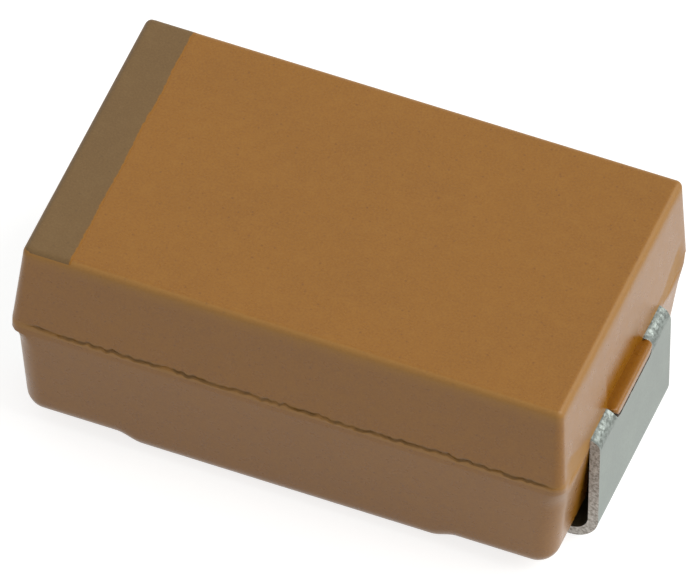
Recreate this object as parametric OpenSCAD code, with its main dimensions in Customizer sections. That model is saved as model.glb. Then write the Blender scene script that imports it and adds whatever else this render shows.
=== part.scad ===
// Moulded surface-mount tantalum capacitor in the 7343 case size.
// X runs along the case, from the anode end (-X, marked by the band) to the cathode end (+X).
// The board is the plane z = 0 and the origin lies on it, under the middle of the case.
// All lengths are in millimetres and all angles in degrees.

/* [Case] */
// Length of the case at the parting line
case_length = 7.02; // [6.8:0.02:7.2]
// Width of the case at the parting line
case_width = 4.3; // [4.1:0.05:4.5]
// Height of the flat top above the board
case_top = 2.96; // [2.8:0.01:3.1]
// Height of the parting line above the board
parting_z = 1.75; // [1.65:0.01:1.8]
// Gap between the pad in the middle of the underside and the board
standoff = 0.04; // [0.02:0.01:0.08]
// Length of the pad between the feet, at the parting line that its walls are drafted from
pad_length = 4.7; // [4.2:0.1:4.9]
// Draft angle of the walls above the parting line
upper_draft = 4; // [2:0.1:6]
// Draft angle of the walls below the parting line
lower_draft = 4.2; // [2:0.1:6]
// Radius of the upright corners above the parting line
upper_corner_r = 0.13; // [0.1:0.01:0.3]
// Radius of the upright corners below the parting line
lower_corner_r = 0.28; // [0.2:0.01:0.4]
// Radius of the edges round the flat top
top_edge_r = 0.08; // [0.05:0.01:0.1]
// Radius of the edges round the underside
bottom_edge_r = 0.28; // [0.15:0.01:0.3]

/* [Mould mismatch] */
// How far the two mould halves sit out of line along the case
end_mismatch = 0.02; // [0:0.01:0.04]
// How far the two mould halves sit out of line across the case
side_mismatch = 0.02; // [0:0.01:0.04]

/* [Terminals] */
// Thickness of the lead frame sheet
sheet_t = 0.13; // [0.1:0.01:0.15]
// Width of each terminal
terminal_width = 2.4; // [2.2:0.05:2.6]
// Gap between the end of the case and the upright wall of a terminal
end_gap = 0.02; // [0.02:0.01:0.1]
// Length of each foot, from the outside of its terminal
foot_length = 1.3; // [1.1:0.05:1.6]
// How far the sheet's upper face lies below the parting line
sheet_drop = 0.03; // [0:0.01:0.06]
// Outer radius of the bend at the top of a terminal
shoulder_r = 0.16; // [0.16:0.01:0.2]
// Outer radius of the bend at the foot
heel_r = 0.35; // [0.2:0.01:0.4]
// Width of the window between the two tabs
window_width = 1.3; // [1.1:0.05:1.4]
// How far the window's sill lies below the parting line
window_drop = 0.21; // [0.2:0.01:0.3]
// Radius of the window's lower corners
window_r = 0.15; // [0.05:0.01:0.2]

/* [Moulded key in the window] */
// How far the key stands out from the end of the case
key_reach = 0.14; // [0.1:0.01:0.15]
// Gap between the key and each tab
key_gap = 0.03; // [0.03:0.01:0.1]
// Height of the scoop above the parting line
scoop_height = 0.36; // [0.2:0.01:0.5]
// Depth of the scoop at the foot of the key
scoop_depth = 0.05; // [0.04:0.01:0.12]

/* [Polarity band] */
// Width of the band
band_width = 0.6; // [0.4:0.05:1]
// Depth of the marked layer, which is level with the top
band_t = 0.015; // [0.01:0.005:0.03]

/* [Anode pellet] */
// Length of the sintered pellet
pellet_length = 4.8; // [4:0.1:4.8]
// Width of the sintered pellet
pellet_width = 3.1; // [2.6:0.1:3.2]
// Height of the sintered pellet
pellet_height = 1.7; // [1.4:0.05:1.75]
// Radius of the pellet's long edges
pellet_edge_r = 0.15; // [0.05:0.01:0.2]
// Diameter of the riser wire
wire_d = 0.38; // [0.32:0.01:0.42]
// Length of wire sintered into the pellet
wire_embedded = 3.1; // [2:0.1:3.5]
// Diameter of the insulating washer
washer_d = 1.1; // [0.8:0.05:1.3]
// Thickness of the insulating washer
washer_t = 0.2; // [0.1:0.01:0.25]

/* [Counter-electrode] */
// Thickness of the manganese dioxide
dioxide_t = 0.04; // [0.02:0.01:0.05]
// Thickness of the graphite
graphite_t = 0.02; // [0.02:0.005:0.03]
// Thickness of the silver paint
silver_t = 0.03; // [0.02:0.005:0.04]
// Thickness of the silver-loaded adhesive
adhesive_t = 0.05; // [0.03:0.01:0.06]
// Width of the cathode lead frame's paddle
paddle_width = 1.8; // [1.2:0.1:2.2]
// Length of the paddle under the pellet
paddle_length = 1.9; // [1:0.1:2.5]

/* [Hidden] */

ROUND = 48;     // segments of a drawn circle
HULL_ROUND = 32; // segments of a ball or disc inside a hull
THIN = 0.01;    // height of the disc that starts a drafted wall
OVER = 1;       // how far a cutting tool runs past what it cuts

// The two mould halves
half_length = case_length - end_mismatch;
half_width = case_width - side_mismatch;
end_x = case_length / 2;
foot_relief = 0.01; // air between a foot and the underside above it
pad_inset = 0.01;   // how far the pad's walls lie inside the walls above it

// Lead frame
terminal_x = end_x + end_gap + sheet_t;
sheet_top = parting_z - sheet_drop;
sheet_bottom = sheet_top - sheet_t;
sill_z = parting_z - window_drop;
window_depth = 0.3; // how far the window reaches inside the case
anode_run = 0.45; // how far the anode's full-width sheet runs inside the case
cathode_run = 0.51; // how far the cathode's sheet runs inside before it turns down
finger_width = 1.0; // width of the anode's weld finger
weld_length = 0.55; // length of wire that lies under the weld finger
weld_start_x = -end_x + 0.46; // free end of the riser wire
scoop_foot = 0.11; // how far the scoop's foot lies below the parting line
scoop_top_width = 0.8; // width of the scoop where it meets the end wall
key_root = 0.15; // how far the key reaches back into the case
key_nose_r = 0.05; // radius of the key's upper edge
key_corner_r = 0.12; // radius of the key's outer corners
key_sill_gap = 0.02; // air between the key and the window's sill

// Pellet and its coats. The wire's flattened weld face meets the sheet's underside.
weld_flat = 0.04;
pellet_z = sheet_bottom - (wire_d / 2 - weld_flat);
coats_t = dioxide_t + graphite_t + silver_t;
paddle_wall_x = end_x - cathode_run;
pellet_x1 = paddle_wall_x - adhesive_t - coats_t;
pellet_x0 = pellet_x1 - pellet_length;
graphite_margin = 0.35; // bare dioxide left at the wire end
silver_margin = 0.5;    // bare graphite and dioxide left at the wire end
paddle_top = pellet_z - pellet_height / 2 - coats_t - adhesive_t;
paddle_x0 = paddle_wall_x + sheet_t - paddle_length;
paddle_bend_r = 0.18;
adhesive_margin = 0.1; // bare metal left round the adhesive on the paddle
adhesive_rise = 0.9; // how far the adhesive climbs the end of the pellet

// ---------- shared shapes ----------

// A ball for a hull, sized so that its facets reach the full radius up, down and sideways
module ball(r) {
    sphere(r = r / cos(180 / HULL_ROUND), $fn = HULL_ROUND);
}

// One mould half: drafted walls that rise from z = 0 and close in a flat face with round edges
module drafted_half(length, width, depth, draft, corner_r, edge_r) {
    inset = depth * tan(draft);
    hull()
        for (sx = [-1, 1], sy = [-1, 1]) {
            translate([sx * (length / 2 - corner_r), sy * (width / 2 - corner_r), 0])
                cylinder(r = corner_r, h = THIN, $fn = HULL_ROUND);
            translate([sx * (length / 2 - inset - edge_r), sy * (width / 2 - inset - edge_r),
                       depth - edge_r])
                ball(edge_r);
        }
}

// Draws children both as they are, at the cathode end, and turned to the anode end
module both_ends() {
    for (turn = [0, 180])
        rotate([0, 0, turn]) children();
}

// Extrudes a profile drawn in X and Z to a width across the case
module across(width) {
    rotate([90, 0, 0])
        linear_extrude(height = width, center = true) children();
}

// A quarter of a bent sheet, centred on the bend's axis, in the quadrant that sx and sz name
module bend_profile(outer_r, sx, sz) {
    intersection() {
        difference() {
            circle(r = outer_r, $fn = ROUND);
            circle(r = outer_r - sheet_t, $fn = ROUND);
        }
        translate([sx < 0 ? -outer_r : 0, sz < 0 ? -outer_r : 0])
            square(outer_r);
    }
}

// A block of the pellet's section, grown all round by a coat and running between two stations
module pellet_block(grow, x0, x1) {
    w = pellet_width + 2 * grow;
    h = pellet_height + 2 * grow;
    r = pellet_edge_r + grow;
    translate([x0, 0, pellet_z])
        rotate([90, 0, 90])
            linear_extrude(height = x1 - x0) {
                square([w - 2 * r, h], center = true);
                square([w, h - 2 * r], center = true);
                for (sy = [-1, 1], sz = [-1, 1])
                    translate([sy * (w / 2 - r), sz * (h / 2 - r)])
                        circle(r = r, $fn = ROUND);
            }
}

// A round bar on the wire's axis
module on_wire_axis(d, x0, x1) {
    translate([x0, 0, pellet_z])
        rotate([0, 90, 0])
            cylinder(d = d, h = x1 - x0, $fn = ROUND);
}

// ---------- moulded case ----------

// The mould's lower cavity is in two depths: the ends stand clear of the feet that fold in under
// them, and the pad between the feet reaches almost to the board
module mould_halves() {
    translate([-end_mismatch / 2, side_mismatch / 2, parting_z])
        drafted_half(half_length, half_width, case_top - parting_z, upper_draft,
                     upper_corner_r, top_edge_r);
    translate([end_mismatch / 2, -side_mismatch / 2, parting_z])
        mirror([0, 0, 1]) {
            drafted_half(half_length, half_width, parting_z - sheet_t - foot_relief,
                         lower_draft, lower_corner_r, bottom_edge_r);
            drafted_half(pad_length, half_width - 2 * pad_inset, parting_z - standoff,
                         lower_draft, lower_corner_r, bottom_edge_r);
        }
}

// The hollow above the key: a trapezoid window in the end wall, hollowed by a cylinder that runs out
// flush with the wall at the top and reaches scoop_depth at the foot of the key
module scoop() {
    foot_z = parting_z - scoop_foot;
    rise = scoop_height + scoop_foot;
    scoop_r = (rise * rise + scoop_depth * scoop_depth) / (2 * scoop_depth);
    intersection() {
        translate([end_x - scoop_depth + scoop_r, 0, foot_z])
            rotate([90, 0, 0])
                cylinder(r = scoop_r, h = case_width, center = true, $fn = ROUND);
        translate([end_x - OVER, 0, 0])
            rotate([90, 0, 90])
                linear_extrude(height = 2 * OVER)
                    polygon([
                        [-window_width / 2, foot_z], [window_width / 2, foot_z],
                        [scoop_top_width / 2, foot_z + rise], [-scoop_top_width / 2, foot_z + rise]
                    ]);
    }
}

// The key in plan, with its outer corners rounded
module key_plan() {
    half = window_width / 2 - key_gap;
    nose_x = end_x + key_reach;
    translate([end_x - key_root, -half])
        square([nose_x - key_corner_r - end_x + key_root, 2 * half]);
    translate([end_x, -half + key_corner_r])
        square([key_reach, 2 * (half - key_corner_r)]);
    for (sy = [-1, 1])
        translate([nose_x - key_corner_r, sy * (half - key_corner_r)])
            circle(r = key_corner_r, $fn = ROUND);
}

// The key from the side: a ledge that climbs from the scoop's foot to a round nose
module key_profile() {
    nose_x = end_x + key_reach;
    key_bottom = sill_z + key_sill_gap;
    foot_z = parting_z - scoop_foot;
    difference() {
        union() {
            translate([end_x - key_root, key_bottom])
                square([key_root + key_reach - key_nose_r, parting_z - key_bottom]);
            translate([end_x, key_bottom])
                square([key_reach, parting_z - key_nose_r - key_bottom]);
            translate([nose_x - key_nose_r, parting_z - key_nose_r])
                circle(r = key_nose_r, $fn = ROUND);
        }
        translate([end_x - scoop_depth, foot_z])
            rotate(atan2(scoop_foot, scoop_depth + key_reach - key_nose_r))
                translate([-OVER, 0])
                    square([2 * OVER, OVER]);
    }
}

// The key: resin that filled the window between the tabs, round at its nose and outer corners
module window_key() {
    intersection() {
        across(window_width) key_profile();
        linear_extrude(height = case_top) key_plan();
    }
}

// Everything that the resin is moulded round
module potted_parts() {
    pellet_block(dioxide_t, pellet_x0 - dioxide_t, pellet_x1 + dioxide_t);
    pellet_block(dioxide_t + graphite_t, pellet_x0 + graphite_margin,
                 pellet_x1 + dioxide_t + graphite_t);
    pellet_block(coats_t, pellet_x0 + silver_margin, pellet_x1 + coats_t);
    silver_adhesive_shape();
    on_wire_axis(wire_d, weld_start_x, pellet_x0);
    on_wire_axis(washer_d, pellet_x0 - dioxide_t - washer_t, pellet_x0 - dioxide_t);
    anode_terminal_shape();
    cathode_terminal_shape();
}

module moulded_case() {
    color("#9a6d3e")
        difference() {
            union() {
                difference() {
                    mould_halves();
                    both_ends() scoop();
                }
                both_ends() window_key();
            }
            potted_parts();
            marked_layer(OVER);
        }
}

// ---------- polarity band ----------

// The layer of darkened resin across the flat top at the anode end. It can run on upwards to cut
// its own seat.
module marked_layer(above) {
    inset = (case_top - parting_z) * tan(upper_draft) + top_edge_r;
    translate([-end_x + inset, -half_width / 2 + inset + side_mismatch / 2, case_top - band_t])
        cube([band_width - top_edge_r, half_width - 2 * inset, band_t + above]);
}

module polarity_band() {
    color("#7f6548") marked_layer(0);
}

// ---------- terminals ----------

// The folded sheet outside the case, from the tabs down to the foot
module outer_fold_profile(inner_x) {
    translate([inner_x, sheet_bottom])
        square([terminal_x - shoulder_r - inner_x, sheet_t]);
    translate([terminal_x - shoulder_r, sheet_top - shoulder_r])
        bend_profile(shoulder_r, 1, 1);
    translate([terminal_x - sheet_t, heel_r])
        square([sheet_t, sheet_top - shoulder_r - heel_r]);
    translate([terminal_x - heel_r, heel_r])
        bend_profile(heel_r, 1, -1);
    translate([terminal_x - foot_length, 0])
        square([foot_length - heel_r, sheet_t]);
}

// The opening that leaves two tabs at the top of the terminal
module window() {
    r = window_r;
    translate([end_x - window_depth, 0, 0])
        rotate([90, 0, 90])
            linear_extrude(height = OVER + window_depth) {
                translate([-window_width / 2, sill_z + r])
                    square([window_width, OVER]);
                translate([-window_width / 2 + r, sill_z])
                    square([window_width - 2 * r, OVER]);
                for (sy = [-1, 1])
                    translate([sy * (window_width / 2 - r), sill_z + r])
                        circle(r = r, $fn = ROUND);
            }
}

module terminal_fold(inner_x) {
    difference() {
        across(terminal_width) outer_fold_profile(inner_x);
        window();
    }
}

// Anode: a short finger reaches in over the riser wire and is welded to it
module anode_terminal_shape() {
    strip_x = end_x - anode_run;
    rotate([0, 0, 180]) terminal_fold(strip_x);
    translate([-strip_x, -finger_width / 2, sheet_bottom])
        cube([weld_start_x + weld_length + strip_x, finger_width, sheet_t]);
}

// Cathode: the sheet turns down the end of the pellet and runs in under it as a paddle
module paddle_profile() {
    r = paddle_bend_r;
    wall_x1 = paddle_wall_x + sheet_t;
    translate([paddle_wall_x + r, sheet_top - r])
        bend_profile(r, -1, 1);
    translate([paddle_wall_x, paddle_top - sheet_t + r])
        square([sheet_t, sheet_top - paddle_top + sheet_t - 2 * r]);
    translate([wall_x1 - r, paddle_top - sheet_t + r])
        bend_profile(r, 1, -1);
    translate([paddle_x0, paddle_top - sheet_t])
        square([wall_x1 - r - paddle_x0, sheet_t]);
}

module cathode_terminal_shape() {
    terminal_fold(paddle_wall_x + paddle_bend_r);
    across(paddle_width) paddle_profile();
}

module anode_terminal() {
    color("#a7aea8") anode_terminal_shape();
}

module cathode_terminal() {
    color("#a7aea8") cathode_terminal_shape();
}

// ---------- anode pellet and counter-electrode ----------

module tantalum_pellet() {
    color("#5f6268")
        difference() {
            pellet_block(0, pellet_x0, pellet_x1);
            on_wire_axis(wire_d, pellet_x0 - OVER, pellet_x0 + wire_embedded);
        }
}

// The free end is flattened where it is welded under the anode finger
module riser_wire() {
    color("#8c9096")
        difference() {
            on_wire_axis(wire_d, weld_start_x, pellet_x0 + wire_embedded);
            translate([weld_start_x - OVER, -OVER / 2, sheet_bottom])
                cube([OVER + weld_length, OVER, OVER]);
        }
}

module insulating_washer() {
    color("#f2f2ee")
        difference() {
            on_wire_axis(washer_d, pellet_x0 - dioxide_t - washer_t, pellet_x0 - dioxide_t);
            on_wire_axis(wire_d, pellet_x0 - OVER, pellet_x0);
        }
}

module manganese_dioxide_coat() {
    color("#2b2b2d")
        difference() {
            pellet_block(dioxide_t, pellet_x0 - dioxide_t, pellet_x1 + dioxide_t);
            pellet_block(0, pellet_x0, pellet_x1);
            on_wire_axis(wire_d, pellet_x0 - OVER, pellet_x0 + THIN);
        }
}

module graphite_coat() {
    color("#3a3a3c")
        difference() {
            pellet_block(dioxide_t + graphite_t, pellet_x0 + graphite_margin,
                         pellet_x1 + dioxide_t + graphite_t);
            pellet_block(dioxide_t, pellet_x0 - dioxide_t, pellet_x1 + dioxide_t);
        }
}

module silver_coat() {
    color("#b9bcc0")
        difference() {
            pellet_block(coats_t, pellet_x0 + silver_margin, pellet_x1 + coats_t);
            pellet_block(dioxide_t + graphite_t, pellet_x0 + graphite_margin,
                         pellet_x1 + dioxide_t + graphite_t);
        }
}

// An angle of adhesive between the silver paint and the cathode's paddle
module silver_adhesive_shape() {
    pad_width = paddle_width - 2 * adhesive_margin;
    difference() {
        union() {
            translate([paddle_x0 + adhesive_margin, -pad_width / 2, paddle_top])
                cube([paddle_wall_x - paddle_x0 - adhesive_margin, pad_width, adhesive_t]);
            translate([paddle_wall_x - adhesive_t, -pad_width / 2, paddle_top])
                cube([adhesive_t, pad_width, adhesive_rise]);
        }
        across(paddle_width) paddle_profile();
    }
}

module silver_adhesive() {
    color("#a5a7aa") silver_adhesive_shape();
}

moulded_case();
polarity_band();
anode_terminal();
cathode_terminal();
tantalum_pellet();
riser_wire();
insulating_washer();
manganese_dioxide_coat();
graphite_coat();
silver_coat();
silver_adhesive();
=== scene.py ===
# %% [markdown]
# # A moulded tantalum capacitor
#
# This lesson dresses the CAD model of a surface-mount tantalum capacitor: an ochre resin block
# 7 mm long, with a dark band over its anode end and a folded, notched terminal at each end.
# The CAD model fixes every size. Each step here gives one piece its real surface.

# %% Load the CAD model
import math

import bpy
import numpy as np
from mathutils import Matrix, Vector, noise


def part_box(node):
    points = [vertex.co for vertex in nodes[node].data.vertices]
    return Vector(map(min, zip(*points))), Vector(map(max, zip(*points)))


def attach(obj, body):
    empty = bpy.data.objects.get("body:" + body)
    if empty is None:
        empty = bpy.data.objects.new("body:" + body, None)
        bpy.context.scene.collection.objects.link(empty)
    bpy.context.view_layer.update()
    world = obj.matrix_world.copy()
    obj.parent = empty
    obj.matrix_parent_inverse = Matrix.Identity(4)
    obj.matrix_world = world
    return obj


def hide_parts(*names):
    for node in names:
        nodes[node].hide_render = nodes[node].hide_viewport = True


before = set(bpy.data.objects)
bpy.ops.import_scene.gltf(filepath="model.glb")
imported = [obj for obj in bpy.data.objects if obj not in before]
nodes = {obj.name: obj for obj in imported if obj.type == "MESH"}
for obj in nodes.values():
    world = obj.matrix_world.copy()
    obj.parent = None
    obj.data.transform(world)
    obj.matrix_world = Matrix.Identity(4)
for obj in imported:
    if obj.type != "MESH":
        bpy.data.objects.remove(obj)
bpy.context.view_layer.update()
print("CAD nodes:", sorted(nodes))

# %% [markdown]
# ## Sizes
#
# The part is small, so the lesson works in millimetres and turns to metres only when a mesh is
# made. The boxes of the CAD nodes give the outer sizes. The draft angles and radii are those of
# the mould, as the CAD source states them.

# %% Sizes of the case in millimetres
MM = 0.001


def box_mm(node):
    """Lowest and highest corner of a CAD node, in millimetres."""
    low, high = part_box(node)
    return np.array(low) / MM, np.array(high) / MM


case_low, case_high = box_mm("moulded_case")
terminal_low, terminal_high = box_mm("cathode_terminal")
band_high = box_mm("polarity_band")[1]

top_z = case_high[2]
parting_z = 1.75  # the line where the two mould halves met
upper_height = top_z - parting_z
half_length, half_width = 3.50, 2.14  # of each half of the case, at the parting line
upper_shift, lower_shift = (-0.01, 0.01), (0.01, -0.01)  # the halves sit a little out of line
upper_draft, lower_draft = math.radians(4.0), math.radians(4.2)
upper_corner_r, top_edge_r = 0.13, 0.09
lower_corner_r, bottom_edge_r = 0.28, 0.28
end_depth, pad_depth = 1.61, 1.71  # depth of the underside below the parting line
print("case", np.round(case_low, 3), "to", np.round(case_high, 3))

# %% [markdown]
# ## Helpers for materials
#
# A colour is written as the sRGB hex value that a colour picker shows, and Blender's shaders want
# linear light, so one function converts it. A second function adds a shader node, sets its
# values and joins its inputs, which keeps each material short enough to read in one go. The
# rest are the short steps that every material starts or ends with.

# %% Colour and node helpers
def linear(hex_code):
    """sRGB hex, such as '#9E7041', to a linear RGBA tuple."""
    channels = [int(hex_code[i:i + 2], 16) / 255 for i in (1, 3, 5)]
    return tuple(c / 12.92 if c <= 0.04045 else ((c + 0.055) / 1.055) ** 2.4
                 for c in channels) + (1.0,)


def add_node(tree, kind, settings=None, inputs=None):
    """Add a node; inputs maps a socket's name or number to a value or to another node's socket."""
    node = tree.nodes.new(kind)
    for name, value in (settings or {}).items():
        setattr(node, name, value)
    for name, value in (inputs or {}).items():
        if isinstance(value, bpy.types.NodeSocket):
            tree.links.new(value, node.inputs[name])
        else:
            node.inputs[name].default_value = value
    return node


def per_mm(size_mm):
    """Texture scale that makes one cell of a pattern this many millimetres wide."""
    return 1.0 / (size_mm * MM)


def new_material(name):
    """An empty material and its node tree."""
    material = bpy.data.materials.new(name)
    material.use_nodes = True
    material.node_tree.nodes.clear()
    return material, material.node_tree


def finish_material(tree, shader):
    """Join a shader's socket to the material's output."""
    add_node(tree, "ShaderNodeOutputMaterial", inputs={"Surface": shader})


def object_point(tree):
    """The point on the surface in the object's own metres, which every pattern here uses."""
    return add_node(tree, "ShaderNodeTexCoord").outputs["Object"]


print("ochre in linear light:", np.round(linear("#9B6512"), 3))

# %% [markdown]
# ## Moulded epoxy resin
#
# The case is transfer-moulded epoxy filled with crushed silica and coloured ochre. The mould
# leaves a fine matt grain. Close up the resin is not one colour: soft clouds where the resin
# flowed, a salt-and-pepper speckle from the filler, and a few dark grains. The silica grit is
# about 0.03 mm. The same recipe serves the laser-darkened band, with its own colours.

# %% Resin colour pattern
grit_mm = 0.026       # filler grit
dark_grain_mm = 0.14  # from one dark grain to the next
mottle_mm = 0.16
cloud_mm = 0.9


def noise_texture(tree, point, size_mm, detail=2.0, roughness=0.5):
    """Noise whose bumps are about size_mm across."""
    return add_node(tree, "ShaderNodeTexNoise", inputs={
        "Vector": point, "Scale": per_mm(size_mm), "Detail": detail, "Roughness": roughness})


def mix_colour(tree, amount, first, second):
    """Blend two colours; each may be a colour or a socket."""
    node = add_node(tree, "ShaderNodeMix", {"data_type": "RGBA"})
    for name, value in ((0, amount), (6, first), (7, second)):
        if isinstance(value, bpy.types.NodeSocket):
            tree.links.new(value, node.inputs[name])
        else:
            node.inputs[name].default_value = value
    return node.outputs[2]


def stretch(tree, value, low, high, new_low=0.0, new_high=1.0):
    """Map a value from one range to another, clamped."""
    return add_node(tree, "ShaderNodeMapRange", inputs={
        "Value": value, "From Min": low, "From Max": high,
        "To Min": new_low, "To Max": new_high}).outputs["Result"]


def resin_colour(tree, point, body, dark, light, grain):
    """Clouds between body and dark, filler speckle towards light, and a few dark grains."""
    clouds = noise_texture(tree, point, cloud_mm, 3.0).outputs["Fac"]
    colour = mix_colour(tree, stretch(tree, clouds, 0.35, 0.7, 0.0, 0.45), body, dark)
    mottle = noise_texture(tree, point, mottle_mm, 2.0).outputs["Fac"]
    colour = mix_colour(tree, stretch(tree, mottle, 0.45, 0.75, 0.0, 0.2), colour, light)
    speckle = noise_texture(tree, point, grit_mm, 1.0).outputs["Fac"]
    colour = mix_colour(tree, stretch(tree, speckle, 0.5, 0.75, 0.0, 0.3), colour, light)
    colour = mix_colour(tree, stretch(tree, speckle, 0.5, 0.25, 0.0, 0.25), colour, grain)
    grains = add_node(tree, "ShaderNodeTexVoronoi", inputs={
        "Vector": point, "Scale": per_mm(dark_grain_mm), "Randomness": 1.0}).outputs["Distance"]
    return mix_colour(tree, stretch(tree, grains, 0.13, 0.06, 0.0, 0.5), colour, grain)


def relief(tree, pattern, height_mm):
    """A normal from a pattern that stands up to height_mm high."""
    return add_node(tree, "ShaderNodeBump", inputs={
        "Height": pattern, "Distance": height_mm * MM, "Strength": 1.0}).outputs["Normal"]


def matt_grain(tree, point, height_mm):
    """The fine matt grain that a mould or a plating bath leaves."""
    return relief(tree, noise_texture(tree, point, grit_mm, 3.0, 0.6).outputs["Fac"], height_mm)


print("filler grit", grit_mm, "mm, clouds", cloud_mm, "mm")

# %% Moulded resin material
resin_body, resin_dark = linear("#9B6512"), linear("#935F12")
resin_light, resin_grain = linear("#A8772C"), linear("#734514")
# Painted shade: the olive here darkens the parting line's groove, where shade falls in the crevice.
seam_shade_olive, lit_break_gold = linear("#6B4807"), linear("#B48A4E")
skin_roughness = (0.26, 0.32)  # a polished mould leaves a soft sheen
rubbed_roughness = 0.27        # where the skin is broken or rubbed it is this much rougher
# Painted light: the pale gold, and this share of it, are partly the colour of broken resin and
# partly painted light on the seam's lip and the ledges beside the tabs.
pale_gold_share = 0.5            # and this far towards the colour of a fresh break


def mesh_layer(tree, name):
    """The value of a layer that the mesh stores at its points."""
    return add_node(tree, "ShaderNodeAttribute", {"attribute_name": name}).outputs["Fac"]


def moulded_resin():
    """Filled epoxy off a polished mould: ochre, with a soft sheen that dulls where it is rubbed.
    Painted shade darkens the parting line's groove, and painted light lifts the seam's lip and the
    ledges beside the tabs towards pale gold.
    """
    material, tree = new_material("moulded_epoxy_resin")
    point = object_point(tree)
    colour = resin_colour(tree, point, resin_body, resin_dark, resin_light, resin_grain)
    # Painted light: the wear layer lifts the seam's lip and the ledges beside the tabs towards pale
    # gold.
    wear_and_light_here = mesh_layer(tree, "wear_and_painted_light")
    colour = mix_colour(tree, stretch(tree, wear_and_light_here, 0.0, 1.0, 0.0, pale_gold_share),
                        colour, lit_break_gold)
    # Painted shade: the seam layer darkens the parting line's groove to olive, where shade falls in
    # the crevice.
    colour = mix_colour(tree, mesh_layer(tree, "seam"), colour, seam_shade_olive)
    sheen = noise_texture(tree, point, mottle_mm, 2.0).outputs["Fac"]
    rough = add_node(tree, "ShaderNodeMath", {"operation": "MULTIPLY_ADD"}, {
        0: wear_and_light_here, 1: rubbed_roughness, 2: stretch(tree, sheen, 0.3, 0.7, *skin_roughness)})
    finish_material(tree, add_node(tree, "ShaderNodeBsdfPrincipled", inputs={
        "Base Color": colour, "Roughness": rough.outputs[0],
        "IOR": 1.50, "Normal": matt_grain(tree, point, 0.0012)}).outputs[0])
    return material


resin = moulded_resin()
print("case:", resin.name, "with roughness from", *skin_roughness)

# %% [markdown]
# ## Laser-darkened resin
#
# The band over the anode end isn't paint: a laser browned the same resin and roughened it. So it
# takes the pattern of the case with greyer colours and no sheen. A painted stripe would be
# simpler, but it would end in a clean line. Here a fine noise breaks up the inner edge.

# %% Laser-darkened resin material
band_dither_mm = 0.05


def lasered_resin():
    """Resin that a laser browned and roughened: grey-brown and matt, ragged at its inner edge."""
    material, tree = new_material("laser_darkened_resin")
    point = object_point(tree)
    burnt = resin_colour(tree, point, linear("#775A30"), linear("#71552E"),
                         linear("#886C42"), linear("#604727"))
    dither = noise_texture(tree, point, band_dither_mm, 3.0).outputs["Fac"]
    edge = add_node(tree, "ShaderNodeMath", {"operation": "ADD"},
                    {0: mesh_layer(tree, "fade"), 1: dither})
    colour = mix_colour(tree, stretch(tree, edge.outputs[0], 0.95, 1.25), burnt, resin_body)
    finish_material(tree, add_node(tree, "ShaderNodeBsdfPrincipled", inputs={
        "Base Color": colour, "Roughness": 0.5, "IOR": 1.48,
        "Normal": matt_grain(tree, point, 0.002)}).outputs[0])
    return material


burnt_resin = lasered_resin()
print("band:", burnt_resin.name)

# %% [markdown]
# ## The outline of the case
#
# The case is a block with drafted walls, so a stack of rounded rectangles describes it: wide at
# the parting line and smaller towards the top and the underside. Building the mesh ring by
# ring keeps its faces in rows, and every ring has the same stations, closer together where the
# ends carry detail. A boolean of boxes would give the same block but no rows to shape.

# %% A window off centre
key_half, key_corner_r = 0.645, 0.05  # of the key that fills the terminal's window
far_half = 0.57  # the window is punched off centre: its far side is this far from the middle
even_y = 1.3     # and from here outwards the end is symmetric again


def from_window(even):
    """Y across an end, from what it would be if the window were symmetric."""
    return np.interp(even, [-even_y, 0, key_half, even_y], [-even_y, 0, far_half, even_y])


def to_window(y):
    """The way back: what Y would be if the window were symmetric."""
    return np.interp(y, [-even_y, 0, far_half, even_y], [-even_y, 0, key_half, even_y])


print("key from", -key_half, "to", far_half, "mm across the end")

# %% Stations round the outline
corner_steps = 9
key_turn = np.sin(np.radians(np.arange(15, 91, 15)))
one_side = np.concatenate([
    np.arange(0.04, 0.561, 0.04), key_half - key_corner_r + key_corner_r * key_turn,
    [0.648, 0.654], np.arange(0.67, 0.96, 0.03), np.arange(1.0, 1.31, 0.06)])
end_near = from_window(np.concatenate([-one_side[::-1], [0.0], one_side]))
side_near = np.arange(-3.0, 3.001, 0.03)  # close enough for a ragged parting line
toward_corner = np.linspace(0, 1, 8)[1:]


def stations(near, reach):
    """Fixed stations near the middle, and a few more that stretch to the corner."""
    start = near[-1]
    far = start + (reach - start) * toward_corner
    return np.concatenate([-far[::-1], near, far])


end_count = len(stations(end_near, half_width))
side_count = len(stations(side_near, half_length))


def outline(a, b, r, shift=(0.0, 0.0)):
    """One ring, anticlockwise from the front of the +X end: half sizes a and b, corner radius r."""
    ys = stations(end_near, b - r)
    xs = stations(side_near, a - r)
    turn = np.linspace(0, math.pi / 2, corner_steps + 2)[1:-1]
    parts = []
    for quarter in range(4):
        if quarter % 2 == 0:
            sign = 1 if quarter == 0 else -1
            parts.append(np.stack([np.full(len(ys), sign * a), sign * ys], 1))
            cx, cy = sign * (a - r), sign * (b - r)
        else:
            sign = 1 if quarter == 1 else -1
            parts.append(np.stack([-sign * xs, np.full(len(xs), sign * b)], 1))
            cx, cy = -sign * (a - r), sign * (b - r)
        angle = turn + quarter * math.pi / 2
        parts.append(np.stack([cx + r * np.cos(angle), cy + r * np.sin(angle)], 1))
    return np.concatenate(parts) + np.array(shift)


stations_in_ring = len(outline(half_length, half_width, upper_corner_r))
quarter_starts = [0, end_count + corner_steps, end_count + side_count + 2 * corner_steps,
                  2 * end_count + side_count + 3 * corner_steps]
print("stations in a ring:", stations_in_ring, "on an end:", end_count, "on a side:", side_count)

# %% [markdown]
# ## Rows of the case
#
# Going down the case, the rows pass round the top edge, down the upper wall, through the
# parting line where the two mould halves met, down the lower wall and round the bottom edge.
# The rows are dense at the parting line, because the resin squeezed out there is what makes
# the part look moulded, and at the level of the key that fills the terminal's window.

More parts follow.
